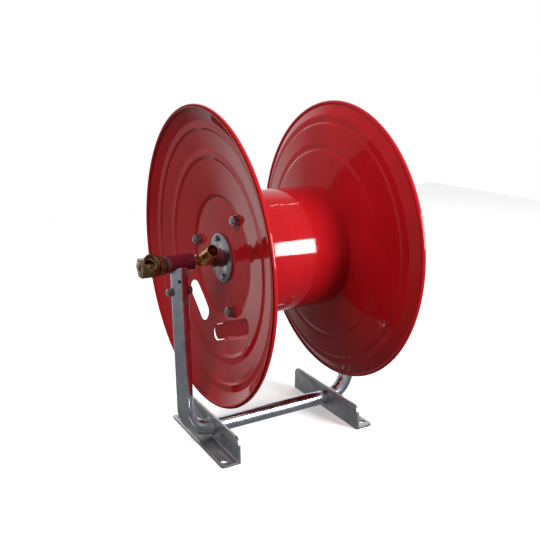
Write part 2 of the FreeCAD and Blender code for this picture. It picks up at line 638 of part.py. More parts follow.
def outlet_stub():
    """Plain hose spigot with a thicker root saddled on the spindle, and a shank screwed into it."""
    body = new_body("spigot")
    profile = new_sketch(body, "spigot_profile", "XZ_Plane")
    outer, end, chamfer = "dims.outlet_radius", "dims.outlet_end", "dims.outlet_chamfer"
    root, swell, shoulder = "dims.spindle_radius / 2", "dims.outlet_swell", "dims.outlet_shoulder"
    outline(profile, [
        ("0", root), (swell, root), (swell, shoulder), (outer, shoulder),
        (outer, f"{end} - {chamfer}"), (f"{outer} - {chamfer}", end), ("0", end),
    ])
    turned(body, "Revolution", "spigot_blank", profile, axis="V_Axis")
    body.Placement = Placement(Vector(), Rotation(Vector(1, 0, 0), 80))
    bind(body, {
        "Placement.Rotation.Angle": "90 - dims.outlet_angle",
        "Placement.Base.x": "-dims.outlet_offset", "Placement.Base.z": "dims.axle_height",
    })
    x, angle = "-dims.outlet_offset", "dims.outlet_angle"
    saddle = cylinder("outlet_saddle", "dims.spindle_radius", "4 * dims.outlet_radius",
                      "-dims.outlet_offset - 2 * dims.outlet_radius")
    shank = radial("outlet_shank", "dims.outlet_shank", "dims.outlet_root",
                   "dims.outlet_floor - dims.outlet_root", x, angle)
    solid = fuse("outlet_solid", cut("outlet_saddled", body, saddle), shank)
    mouth = radial("outlet_mouth", "dims.outlet_bore", "dims.outlet_floor", "dims.outlet_end",
                   x, angle)
    neck = radial("outlet_neck", "dims.outlet_neck_bore", "0", "dims.outlet_end", x, angle)
    return cut("outlet_cut", solid, fuse("outlet_bores", mouth, neck))


def swivel_body():
    """Hexagonal swivel housing with a threaded inlet boss, modelled about the axle at Z = 0."""
    body = new_body("swivel_housing")
    bar = new_sketch(body, "bar_section", "YZ_Plane", offset="-dims.swivel_end")
    corner = "dims.swivel_flats / 2 / cos(30)"
    outline(bar, [
        (f"{corner} * cos({turn})", f"{corner} * sin({turn})") for turn in range(30, 390, 60)
    ])
    feature(body, "Pad", "bar", bar, expressions={"Length": "dims.swivel_end - dims.swivel_start"})
    boss = new_sketch(body, "boss_circle", "XZ_Plane")
    circle(boss, "dims.inlet_radius", x="-dims.inlet_offset")
    feature(body, "Pad", "boss", boss, expressions={"Length": "dims.inlet_face"})
    outward = {"Type": "ThroughAll", "Reversed": True}
    for name, radius, floor in (
        ("inlet", "dims.inlet_bore", "dims.inlet_floor"), ("drill", "dims.inlet_drill", "0"),
    ):
        hole = new_sketch(body, f"{name}_circle", "XZ_Plane", offset=floor)
        circle(hole, radius, x="-dims.inlet_offset")
        feature(body, "Pocket", f"{name}_hole", hole, outward)
    for name, radius, start in (
        ("bearing", "dims.spindle_radius + dims.running_gap", "0"),
        ("chamber", "dims.chamber_radius", "-dims.chamber_start"),
    ):
        hole = new_sketch(body, f"{name}_circle", "YZ_Plane", offset=start)
        circle(hole, radius)
        feature(body, "Pocket", f"{name}_hole", hole, {"Type": "ThroughAll"})
    body.Placement = Placement(Vector(), Rotation(Vector(1, 0, 0), -10))
    bind(body, {
        "Placement.Rotation.Angle": "-dims.inlet_angle",
        "Placement.Base.z": "dims.axle_height",
    })
    return body


def end_plug():
    """Round plug with a hexagon socket that closes the swivel."""
    plug = cylinder("plug_blank", "dims.chamber_radius - dims.plug_gap",
                    "dims.swivel_end - dims.plug_start", "-dims.swivel_end")
    socket = hexagon("plug_socket", "dims.plug_socket", "dims.plug_socket_depth + 1",
                     "-dims.swivel_end - 1")
    groove = ring("plug_groove", "dims.chamber_radius + 1", "dims.plug_groove",
                  "2 * dims.plug_groove_half", f"{PLUG_SEAL_PLACE} - dims.plug_groove_half")
    return cut("plug_cut", plug, fuse("plug_cuts", socket, groove))


def shaft_parts():
    """Right-hand shaft with its washer and split pin."""
    blank = cylinder("shaft_blank", "dims.spindle_radius", "dims.shaft_end - dims.spindle_end",
                     "dims.spindle_end")
    hole = cylinder("shaft_hole", "dims.shaft_pin_radius", "4 * dims.spindle_radius",
                    "dims.shaft_pin_offset", z="dims.axle_height - 2 * dims.spindle_radius",
                    axis="Z")
    washer = ring("shaft_washer_ring", "dims.shaft_washer", "dims.spindle_radius + 0.2",
                  "dims.shaft_washer_thick",
                  "dims.shaft_pin_offset - dims.shaft_pin_radius - dims.shaft_washer_thick")
    pin = cylinder("pin_shank", "dims.shaft_pin_radius", "2 * dims.shaft_pin_half",
                   "dims.shaft_pin_offset", z="dims.axle_height - dims.shaft_pin_half", axis="Z")
    eye = doc.addObject("Part::Torus", "pin_eye")
    bind(eye, {
        "Radius1": "2 * dims.shaft_pin_radius", "Radius2": "dims.shaft_pin_radius * 0.8",
        "Placement.Base.z": "dims.axle_height + dims.shaft_pin_half + 2 * dims.shaft_pin_radius",
    })
    centre(eye, "X", "dims.shaft_pin_offset", "0",
           "dims.axle_height + dims.shaft_pin_half + 2 * dims.shaft_pin_radius")
    return cut("shaft", blank, hole), washer, fuse("pin", pin, eye)


# ---------------------------------------------------------------- the whole reel

def build():
    """Make every piece and return them by name."""
    pieces = {"frame_tube": frame_tube(), "left_foot": foot("angle_left", -1),
              "right_foot": foot("angle_right", 1)}
    tee = bearing_tee()
    pieces |= {"right_bearing_tee": tee, "left_bearing_tee": mirrored(tee)}
    bolt, clamp_nut, clamp_washers = clamp_parts()
    screw = grub("grub_screw", "dims.tube_radius + 1 - dims.stem_radius")
    for label, parts in (
        ("axle_bushes", axle_bushes()), ("tee_clamp_bolts", [bolt]),
        ("tee_clamp_nuts", [clamp_nut]), ("tee_clamp_washers", clamp_washers),
        ("tee_grub_screws", [screw]),
    ):
        pieces[label] = group(f"{label}_group", parts + [mirrored(part) for part in parts])

    studs, nuts, washers = tie_parts()
    left_screws, left_nuts = hub_screws("left", "dims.hub_screw_angle")
    right_screws, right_nuts = hub_screws("right", "dims.hub_screw_right")
    turned_round = Rotation(Vector(1, 0, 0), DIMENSIONS["right_turn"]).multiply(
        Rotation(Vector(0, 0, 1), 180))
    pieces |= {
        "left_disc": lift(disc("left_pressing")),
        "right_disc": lift(disc("right_pressing"), turned_round),
        "drum_shell": drum_shell(),
        "tie_studs": group("tie_studs_group", studs),
        "tie_stud_nuts": group("tie_nuts_group", nuts),
        "tie_stud_washers": group("tie_washers_group", washers),
        "left_hub_flange": lift(hub_flange("left_hub")),
        "right_hub_flange": lift(hub_flange("right_hub"), turned_round),
        "hub_screws": group("hub_screws_group",
                            [mirrored(item) for item in left_screws] + right_screws),
        "hub_screw_nuts": group("hub_nuts_group",
                                [mirrored(item) for item in left_nuts] + right_nuts),
    }

    shaft, shaft_washer, pin = shaft_parts()
    pieces |= {
        "water_spindle": spindle(), "outlet_spigot": outlet_stub(),
        "spindle_collar_nut": nut("collar", "dims.collar_flats", "dims.spindle_radius",
                                  "dims.collar_end - dims.collar_start", "-dims.collar_end"),
        "swivel_thrust_washer": ring("thrust", "dims.thrust_radius", "dims.spindle_radius + 0.1",
                                     "dims.thrust_thick", "-dims.collar_end - dims.thrust_thick"),
        "spindle_seals": group("spindle_seals_group", [
            torus(f"spindle_seal_{number}", "dims.seal_ring", "dims.seal_radius", place)
            for number, place in enumerate(SEAL_PLACES)]),
        "spindle_clip": spindle_clip(),
        "right_shaft": shaft, "right_shaft_washer": shaft_washer, "right_shaft_split_pin": pin,
        "swivel_body": swivel_body(), "swivel_end_plug": end_plug(),
        "swivel_plug_seal": torus("plug_seal", "dims.plug_seal_ring", "dims.plug_seal_radius",
                                  PLUG_SEAL_PLACE),
    }
    return pieces


def check(pieces):
    """Stop if any object failed to compute or any piece isn't a sound solid."""
    broken = [item.Label for item in doc.Objects if {"Invalid", "Error"} & set(item.State)]
    if broken:
        raise RuntimeError(f"failed objects: {broken}")
    for label, item in pieces.items():
        shape = item.Shape
        if shape.isNull() or not shape.isValid() or not shape.Solids:
            raise RuntimeError(f"bad shape: {label}")


def main():
    fill_sheet()
    pieces = build()
    for label, item in pieces.items():
        item.Label = label
    doc.recompute()
    check(pieces)
    os.makedirs("parts", exist_ok=True)
    for label, item in pieces.items():
        shape = item.Shape
        shape.exportStep(f"parts/{label}.step")
        box = shape.BoundBox
        print(f"{label}: {len(shape.Solids)} solid(s), {shape.Volume / 1000:.2f} cm3, "
              f"X {box.XMin:.1f}..{box.XMax:.1f} Y {box.YMin:.1f}..{box.YMax:.1f} "
              f"Z {box.ZMin:.1f}..{box.ZMax:.1f}")


main()
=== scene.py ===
import json
import math
import bmesh
import bpy
from mathutils import Matrix, Vector, geometry, noise


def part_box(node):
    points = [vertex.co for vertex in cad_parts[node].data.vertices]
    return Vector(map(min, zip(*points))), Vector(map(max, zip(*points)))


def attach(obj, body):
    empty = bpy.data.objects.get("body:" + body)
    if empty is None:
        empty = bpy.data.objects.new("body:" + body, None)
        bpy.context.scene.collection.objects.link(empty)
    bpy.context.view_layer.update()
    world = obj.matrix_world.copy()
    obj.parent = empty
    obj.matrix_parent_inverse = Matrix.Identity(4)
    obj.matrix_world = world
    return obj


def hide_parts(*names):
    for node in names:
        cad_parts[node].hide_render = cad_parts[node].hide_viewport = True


# Looks of the hose reel. Shapes are written in millimetres about the middle of the axle, with X
# along the axle, the front at -Y and the water inlet at -X. finish_piece() scales them to metres
# and lifts them to the axle's height.

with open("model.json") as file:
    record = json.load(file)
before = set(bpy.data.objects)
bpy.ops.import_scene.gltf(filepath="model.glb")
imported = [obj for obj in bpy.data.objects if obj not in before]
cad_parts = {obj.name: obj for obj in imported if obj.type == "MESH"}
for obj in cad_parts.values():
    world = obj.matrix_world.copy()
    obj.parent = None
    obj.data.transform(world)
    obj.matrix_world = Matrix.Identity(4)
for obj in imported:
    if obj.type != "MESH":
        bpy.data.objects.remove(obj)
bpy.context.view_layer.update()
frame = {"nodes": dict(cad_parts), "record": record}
MM = 0.001


def middle(node):
    low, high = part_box(node)
    return (low + high) / 2


AXLE = middle("drum_shell").z


# ---------------------------------------------------------------- materials

def add_node(tree, kind, inputs, **properties):
    """New shader node whose inputs are linked when given a socket, and set when given a value."""
    node = tree.nodes.new(kind)
    for key, value in properties.items():
        setattr(node, key, value)
    for key, value in inputs.items():
        if isinstance(value, bpy.types.NodeSocket):
            tree.links.new(value, node.inputs[key])
        else:
            node.inputs[key].default_value = value
    return node


class Nodes:
    """Short way to build one material's node tree around its Principled shader."""

    def __init__(self, name, **inputs):
        self.material = bpy.data.materials.new(name)
        self.material.use_nodes = True
        self.tree = self.material.node_tree
        self.shader = self.tree.nodes["Principled BSDF"]
        for key, value in inputs.items():
            self.shader.inputs[key.replace("_", " ")].default_value = value
        self.place = self.add("ShaderNodeTexCoord", {}).outputs["Object"]

    def add(self, kind, inputs, **properties):
        return add_node(self.tree, kind, inputs, **properties)

    def noise(self, scale, detail=4.0, rough=0.55, stretch=None):
        place = self.place
        if stretch:
            place = self.add("ShaderNodeMapping", {"Vector": place, "Scale": stretch}).outputs[0]
        return self.add("ShaderNodeTexNoise", {
            "Vector": place, "Scale": scale, "Detail": detail, "Roughness": rough,
        }).outputs["Fac"]

    def spread(self, value, low, high, start, end):
        """Map value from low..high to start..end, clamped."""
        return self.add("ShaderNodeMapRange", {
            0: value, 1: low, 2: high, 3: start, 4: end,
        }).outputs[0]

    def mix(self, share, first, second):
        node = self.add("ShaderNodeMix", {0: share, 6: first, 7: second}, data_type="RGBA")
        return node.outputs[2]

    def combine(self, first, second, operation="MULTIPLY"):
        return self.add("ShaderNodeMath", {0: first, 1: second}, operation=operation).outputs[0]

    def reach(self, direction, start, end):
        """Rise from 0 to 1 as the place goes from start to end along a direction."""
        dot = self.add("ShaderNodeVectorMath", {0: self.place, 1: direction},
                       operation="DOT_PRODUCT").outputs["Value"]
        return self.spread(dot, start, end, 0.0, 1.0)

    def bump(self, height, strength, distance):
        normal = self.add("ShaderNodeBump", {
            "Height": height, "Strength": strength, "Distance": distance,
        }).outputs[0]
        self.drive("Normal", normal)

    def drive(self, name, socket):
        self.tree.links.new(socket, self.shader.inputs[name])


def red_paint(name, deep, bright, specular):
    """Glossy red coating with a faint orange-peel surface, dust and fine scuffs."""
    n = Nodes(name, Metallic=0.0, Specular_IOR_Level=specular)
    cloud = n.noise(9.0, 5.0)
    tone = n.mix(n.spread(cloud, 0.35, 0.65, 0.0, 1.0), deep, bright)
    dust = n.spread(n.noise(55.0, 6.0, 0.65), 0.55, 0.80, 0.0, 0.10)
    n.drive("Base Color", n.mix(dust, tone, (0.36, 0.03, 0.03, 1)))
    scuffs = n.spread(n.noise(35.0, 8.0, 0.7, (1.0, 1.0, 6.0)), 0.45, 0.7, 0.0, 1.0)
    n.drive("Roughness", n.spread(scuffs, 0.0, 1.0, 0.05, 0.12))
    peel = n.noise(420.0, 2.0)
    waves = n.noise(18.0, 2.0)
    height = n.combine(n.combine(peel, 0.25), waves, "ADD")
    n.bump(height, 0.05, 0.0010)
    return n.material


def zinc(name, tint, rough, grain):
    """Zinc-plated steel: streaked, lightly clouded and a little blue."""
    n = Nodes(name, Metallic=1.0)
    cloud = n.noise(40.0, 6.0, 0.6)
    dark = tuple(channel * 0.72 for channel in tint) + (1,)
    tone = n.mix(n.spread(cloud, 0.35, 0.65, 0.0, 1.0), dark, (*tint, 1))
    spots = n.spread(n.noise(260.0, 4.0, 0.7), 0.60, 0.72, 0.0, 0.45)
    n.drive("Base Color", n.mix(spots, tone, (0.30, 0.30, 0.31, 1)))
    streak = n.noise(60.0, 6.0, 0.6, grain)
    n.drive("Roughness", n.spread(streak, 0.3, 0.7, rough - 0.07, rough + 0.10))
    n.bump(n.combine(streak, n.noise(300.0, 3.0), "ADD"), 0.16, 0.0006)
    return n.material


def brass(name, light, dark, spot):
    """Machined brass with darker handled patches."""
    n = Nodes(name, Metallic=1.0)
    cloud = n.noise(70.0, 6.0, 0.6)
    tone = n.mix(n.spread(cloud, 0.35, 0.7, 0.0, 1.0), light, dark)
    spots = n.spread(n.noise(240.0, 5.0, 0.7), 0.56, 0.72, 0.0, 0.7)
    n.drive("Base Color", n.mix(spots, tone, spot))
    n.drive("Roughness", n.spread(cloud, 0.3, 0.7, 0.16, 0.34))
    n.bump(n.noise(700.0, 3.0), 0.12, 0.0004)
    return n.material


def plain(name, color, rough, scale, depth, metallic=0.0):
    """Moulded or blackened surface with a fine grain."""
    n = Nodes(name, Metallic=metallic)
    cloud = n.noise(scale / 6, 5.0)
    light = tuple(min(1.0, channel * 1.5 + 0.01) for channel in color) + (1,)
    n.drive("Base Color", n.mix(n.spread(cloud, 0.35, 0.7, 0.0, 1.0), (*color, 1), light))
    n.drive("Roughness", n.spread(cloud, 0.3, 0.7, rough - 0.06, rough + 0.10))
    n.bump(n.noise(scale, 4.0), 0.25, depth)
    return n.material


RED = red_paint("red_paint", (0.30, 0.0045, 0.0075, 1), (0.36, 0.006, 0.010, 1), 0.28)
# A much darker copy of the red paint for the sleeves and hub tubes: painted shade of the left
# disc's shadow, with a painted reflection of the red disc.
SHADED_SLEEVE_PAINT = red_paint("sleeve_paint_painted_shade", (0.10, 0.008, 0.018, 1), (0.13, 0.010, 0.022, 1), 0.7)
TUBE_ZINC = zinc("tube_zinc", (0.74, 0.80, 0.88), 0.15, (1.0, 1.0, 0.25))
FOOT_ZINC = zinc("foot_zinc", (0.54, 0.53, 0.55), 0.34, (1.0, 0.12, 1.0))
ZINC = zinc("zinc_steel", (0.50, 0.52, 0.55), 0.26, (1.0, 1.0, 1.0))
BRASS = brass("brass", (0.72, 0.47, 0.16, 1), (0.46, 0.27, 0.08, 1), (0.20, 0.11, 0.04, 1))
OLD_BRASS = brass("brass_handled", (0.40, 0.25, 0.13, 1), (0.20, 0.105, 0.05, 1),
                  (0.10, 0.05, 0.025, 1))
DARK = plain("dark_steel", (0.035, 0.035, 0.04), 0.4, 600.0, 0.0003, metallic=0.9)
PLASTIC = plain("bush_plastic", (0.025, 0.025, 0.028), 0.45, 900.0, 0.0003)
RUBBER = plain("seal_rubber", (0.012, 0.012, 0.012), 0.55, 900.0, 0.0002)
FINISHES = {
    "red_paint": RED, "tube_zinc": TUBE_ZINC, "foot_zinc": FOOT_ZINC, "zinc_steel": ZINC,
    "brass": BRASS, "dark_steel": DARK, "bush_plastic": PLASTIC, "seal_rubber": RUBBER,
}

NODE_SLOT = {row["node"]: row["material_slot"] for row in frame["record"]["subparts"]}
for name, item in frame["nodes"].items():
    item.data.materials.clear()
    item.data.materials.append(FINISHES[NODE_SLOT[name]])
NODE_BODY = {
    node: body
    for body, members in frame["record"]["behaviour"]["bodies"].items() for node in members
}


# ---------------------------------------------------------------- mesh helpers

MERGE = 0.002
SMOOTH_ANGLE = math.radians(32)


def finish_piece(name, mesh, node, slot=None, material=None):
    """Turn a bmesh into a piece that stands in for a CAD node and rides with its body."""
    slot = slot or NODE_SLOT[node]
    bmesh.ops.remove_doubles(mesh, verts=mesh.verts, dist=MERGE)
    bmesh.ops.recalc_face_normals(mesh, faces=mesh.faces)
    for face in mesh.faces:
        face.smooth = True
    for edge in mesh.edges:
        if len(edge.link_faces) == 2:
            edge.smooth = edge.calc_face_angle() < SMOOTH_ANGLE
    mesh.transform(Matrix.Translation((0, 0, AXLE)) @ Matrix.Scale(MM, 4))
    data = bpy.data.meshes.new(name)
    mesh.to_mesh(data)
    mesh.free()
    data.materials.append(material or FINISHES[slot])
    piece = bpy.data.objects.new(name, data)
    bpy.context.scene.collection.objects.link(piece)
    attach(piece, NODE_BODY[node])
    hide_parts(node)


def on_ring(ring, degrees, x=0.0):
    """Point on a ring about the axle, by its angle above the front."""
    angle = math.radians(degrees)
    return Vector((x, -ring * math.cos(angle), ring * math.sin(angle)))


def grid(mesh, rows, closed=True):
    """Skin rows of points with quads. Each row is closed on itself unless told otherwise."""
    rings = [[mesh.verts.new(point) for point in row] for row in rows]
    for first, second in zip(rings, rings[1:]):
        count = len(first)
        for step in range(count if closed else count - 1):
            other = (step + 1) % count
            mesh.faces.new((first[step], first[other], second[other], second[step]))
    return rings


def lathe(mesh, profile, steps=96, closed=True):
    """Turn a profile of (x, radius) points about the axle."""
    angles = [2 * math.pi * step / steps for step in range(steps)]
    rows = [
        [Vector((x, radius * math.cos(angle), radius * math.sin(angle))) for angle in angles]
        for x, radius in profile
    ]
    if closed:
        rows.append(rows[0])
    grid(mesh, rows)


def rounded(points, radius, steps=4, closed=True):
    """Round the corners of a 2-D outline."""
    result = []
    count = len(points)
    for step, point in enumerate(points):
        if not closed and step in (0, count - 1):
            result.append(tuple(point))
            continue
        here = Vector(point)
        before, after = Vector(points[step - 1]) - here, Vector(points[(step + 1) % count]) - here
        if before.length < 1e-6 or after.length < 1e-6:
            result.append(tuple(point))
            continue
        half = before.angle(after) / 2
        reach = min(radius / max(math.tan(half), 0.05), before.length * 0.48, after.length * 0.48)
        start, end = here + before.normalized() * reach, here + after.normalized() * reach
        for part in range(steps + 1):
            share = part / steps
            spot = start * (1 - share) ** 2 + here * 2 * share * (1 - share) + end * share ** 2
            result.append(tuple(spot))
    return result


def add_mesh(target, source, matrix):
    """Copy one bmesh into another through a matrix."""
    source.transform(matrix)
    data = bpy.data.meshes.new("part")
    source.to_mesh(data)
    source.free()
    target.from_mesh(data)
    bpy.data.meshes.remove(data)


def along(direction, place):
    """Matrix that turns +X to a direction and moves the origin to a place."""
    turn = Vector((1, 0, 0)).rotation_difference(Vector(direction))
    return Matrix.Translation(place) @ turn.to_matrix().to_4x4()


HEXAGON_STEPS = 72
CHAMFER_REACH = 0.93 * 1.02
BORE_LEAD = 0.12
CHAMFER_SLOPE = math.tan(math.radians(30))


def hexagon_nut(flats, thick, bore, both=True):
    """Hexagon with turned chamfers, from x = 0 to thick. bore is 0 for a head.

    Only the far face is chamfered unless both is set.
    """
    mesh = bmesh.new()
    face_radius = flats / 2 * CHAMFER_REACH
    rows = [[] for _ in range(6)]
    for step in range(HEXAGON_STEPS):
        angle = 2 * math.pi * step / HEXAGON_STEPS
        edge = flats / 2 / math.cos((angle % (math.pi / 3)) - math.pi / 6)
        drop = max(0.0, edge - face_radius) * CHAMFER_SLOPE
        low = drop if both else 0.0
        low_radius = min(edge, face_radius) if both else edge
        turn = Vector((0, math.cos(angle), math.sin(angle)))
        inner = max(bore, 0.01)
        places = [
            (0.0, inner), (0.0, low_radius), (low, edge), (thick - drop, edge),
            (thick, min(edge, face_radius)), (thick, inner),
        ]
        for row, (x, radius) in zip(rows, places):
            row.append(turn * radius + Vector((x, 0, 0)))
    if bore:
        lead = bore * BORE_LEAD
        turns = [Vector((0, point.y, point.z)).normalized() for point in rows[0]]

        def ring(x, radius):
            return [turn * radius + Vector((x, 0, 0)) for turn in turns]

        rows[0], rows[-1] = ring(0.0, bore + lead), ring(thick, bore + lead)
        rows += [ring(thick - lead, bore), ring(lead, bore), rows[0]]
    grid(mesh, rows)
    return mesh


def threaded(radius, length, pitch=1.5, depth=0.55, steps=36, tip=True):
    """Rod along +X from x = 0 with a cut thread and a chamfered tip."""
    mesh = bmesh.new()
    rows = []
    count = max(4, int(length / pitch * 6))
    for part in range(count + 1):
        x = length * part / count
        row = []
        for step in range(steps):
            share = step / steps
            phase = (x / pitch - share) % 1.0
            ridge = radius - depth * (1 - abs(2 * phase - 1))
            if tip:
                ridge = min(ridge, radius - depth * 1.1 + (length - x))
            angle = 2 * math.pi * share
            row.append(Vector((x, ridge * math.cos(angle), ridge * math.sin(angle))))
        rows.append(row)
    rings = grid(mesh, rows)
    mesh.faces.new(rings[-1])
    mesh.faces.new(rings[0])
    return mesh


def washer(outer, inner, thick):
    mesh = bmesh.new()
    lathe(mesh, rounded([(0, inner), (0, outer), (thick, outer), (thick, inner)], 0.35, 2), 48)
    return mesh


def tube(mesh, points, radius, sides=10, closed=False, seed=None):
    """Round bar along a line of points. A seed makes it a rippled weld bead."""
    rows = []
    count = len(points)
    side = None
    for step, point in enumerate(points):
        before = points[step - 1] if closed or step else point
        after = points[(step + 1) % count] if closed or step < count - 1 else point
        direction = (after - before).normalized()
        if side is None:
            side = direction.orthogonal()
        side = (side - direction * side.dot(direction)).normalized()
        up = direction.cross(side)
        size = radius
        if seed is not None:
            size *= 1 + 0.22 * noise.noise(point * 0.35 + Vector((seed, 0, 0)))
            size *= 1 + 0.10 * math.sin(step * 2 * math.pi / 5)
        rows.append([
            point + (side * math.cos(turn) + up * math.sin(turn)) * size
            for turn in (2 * math.pi * part / sides for part in range(sides))
        ])
    if closed:
        grid(mesh, rows + [rows[0]])
        return
    rings = grid(mesh, rows)
    mesh.faces.new(rings[0])
    mesh.faces.new(rings[-1])


def circle_points(centre, radius, count=60):
    """Points round a circle that faces along X."""
    return [
        Vector(centre) + Vector((0, math.cos(turn), math.sin(turn))) * radius
        for turn in (2 * math.pi * step / count for step in range(count))
    ]


def node_mesh(node):
    """Copy of a CAD node's mesh, in millimetres about the axle."""
    mesh = bmesh.new()
    mesh.from_mesh(frame["nodes"][node].data)
    mesh.transform(Matrix.Scale(1 / MM, 4) @ Matrix.Translation((0, 0, -AXLE)))
    bmesh.ops.remove_doubles(mesh, verts=mesh.verts, dist=0.001)
    return mesh


SHARP_ANGLE = 35
FLAT_ANGLE = math.radians(1.0)


def soften(mesh, width):
    """Bevel the sharp edges of a bmesh."""
    bmesh.ops.dissolve_limit(mesh, angle_limit=FLAT_ANGLE, verts=mesh.verts, edges=mesh.edges)
    return modified(mesh, lambda holder: bevel_modifier(holder, width, SHARP_ANGLE))


def bevel_modifier(holder, width, limit):
    soft = holder.modifiers.new("soft", "BEVEL")
    soft.width, soft.segments, soft.limit_method = width, 2, "ANGLE"
    soft.angle_limit = math.radians(limit)
    soft.use_clamp_overlap = True


def modified(mesh, add_modifiers):
    """Bmesh with the modifiers that a function adds to its holder applied."""
    data = bpy.data.meshes.new("holder")
    mesh.to_mesh(data)
    mesh.free()
    holder = bpy.data.objects.new("holder", data)
    bpy.context.scene.collection.objects.link(holder)
    add_modifiers(holder)
    bpy.context.view_layer.update()
    result = bmesh.new()
    result.from_object(holder, bpy.context.evaluated_depsgraph_get())
    bpy.data.objects.remove(holder)
    bpy.data.meshes.remove(data)
    return result


# ---------------------------------------------------------------- discs

SHEET = 1.5
# Outer face of the pressing from the seat of the drum to the rim, as (radius, depth along X).
FACE = [
    (108.2, 98.0), (111.0, 101.3), (173.5, 112.7), (179.0, 115.7), (190.5, 116.6),
    (222.5, 123.7), (226.0, 126.6), (238.5, 128.0), (255.0, 137.2), (257.5, 138.8),
]
# Rounding at each point of the face but the last.
CORNERS = [2.0, 2.0, 4.0, 4.0, 8.0, 1.5, 1.5, 8.0, 2.0]
# Inside the split radius the sheet is triangulated round its holes; outside it is turned.
SPLIT = 168.0
AROUND = 252
EYE = 15.5
TIE_RING, TIE_TURN, TIE_HOLE = 98.0, 51.0, 5.2
SCREW_RING, SCREW_TURN, SCREW_HOLE = 35.0, 109.0, 3.2


def face_profile():
    """Outer face of the disc from its eye to its rim as (radius, depth), with rounded steps."""
    points = [(EYE, 98.0)] + FACE
    result = [points[0]]
    for step, radius in enumerate(CORNERS, start=1):
        result += rounded(points[step - 1:step + 2], radius, 6, closed=False)[1:-1]
    return result + [points[-1]]


PROFILE = face_profile()


def face_depth(radius):
    """Depth of the disc's outer face at a radius."""
    for (r0, d0), (r1, d1) in zip(PROFILE, PROFILE[1:]):
        if radius <= r1:
            share = max(0.0, (radius - r0) / (r1 - r0)) if r1 > r0 else 0.0
            return d0 + (d1 - d0) * share
    return PROFILE[-1][1]


class Obround:
    """Slot outline on the disc, by half length, end radius, ring radius and turn in degrees."""

    def __init__(self, half, radius, ring, turn):
        self.half, self.radius = half, radius
        angle = math.radians(turn)
        self.along = Vector((math.cos(angle), math.sin(angle)))
        self.across = Vector((-self.along.y, self.along.x))
        self.centre = self.across * -ring

    def local(self, point):
        offset = Vector(point) - self.centre
        return offset.dot(self.along), offset.dot(self.across)

    def distance(self, point):
        """Distance from the slot's middle line."""
        u, v = self.local(point)
        return math.hypot(max(0.0, abs(u) - self.half), v)

    def place(self, u, v):
        return self.centre + self.along * u + self.across * v

    def outline(self, grow=0.0, spacing=1.8):
        """Closed outline at a distance from the slot's edge."""
        radius = self.radius + grow
        arc = max(8, int(math.pi * radius / spacing))
        line = max(2, int(2 * self.half / spacing))
        points = []
        for side in (1, -1):
            for step in range(arc):
                turn = math.pi * step / arc - math.pi / 2
                points.append((side * (self.half + radius * math.cos(turn)),
                               side * radius * math.sin(turn)))
            for step in range(line):
                points.append((side * (self.half - 2 * self.half * step / line), side * radius))
        return [self.place(u, v) for u, v in points]


HOSE_SLOT = Obround(27.5, 16.0, 134.7, 41.1)
# The lead-in is pressed down to its floor, and its open end is a tongue that rises at the tip.
LEAD = Obround(60.0, 15.0, 130.4, -20.7)
LEAD_FLOOR = 101.0
TIP_RISE = 4.5
LEAD_OPEN = LEAD.half - 22.0
SLIT_INSIDE, SLIT_OUTSIDE = 14.2, 15.0


def smooth_step(value, low, high):
    share = min(1.0, max(0.0, (value - low) / (high - low)))
    return share * share * (3 - 2 * share)


def lead_blend(point):
    """How far a point of the sheet is pressed down to the lead-in's floor, 0 to 1."""
    u, v = LEAD.local(point)
    distance = LEAD.distance(point)
    cut = smooth_step(u, LEAD_OPEN - 5.0, LEAD_OPEN)
    inner = 11.5 + (14.3 - 11.5) * cut
    outer = 16.6 + (14.9 - 16.6) * cut
    return 1.0 - smooth_step(distance, inner, outer)


def lead_slit():
    """Thin cut round the open end of the lead-in, as one closed outline."""
    outer, inner = [], []
    steps = 26
    for radius, row in ((SLIT_OUTSIDE, outer), (SLIT_INSIDE, inner)):
        row.append(LEAD.place(LEAD_OPEN, -radius))
        row.append(LEAD.place((LEAD_OPEN + LEAD.half) / 2, -radius))
        for step in range(steps + 1):
            turn = math.pi * step / steps - math.pi / 2
            row.append(LEAD.place(LEAD.half + radius * math.cos(turn), radius * math.sin(turn)))
        row.append(LEAD.place((LEAD_OPEN + LEAD.half) / 2, radius))
        row.append(LEAD.place(LEAD_OPEN, radius))
    return outer + inner[::-1]


def ring_points(centre, radius, spacing, phase=0.0):
    count = max(8, int(round(2 * math.pi * radius / spacing)))
    return [
        Vector(centre) + Vector((math.cos(turn), math.sin(turn))) * radius
        for turn in (2 * math.pi * (step + phase) / count for step in range(count))
    ]


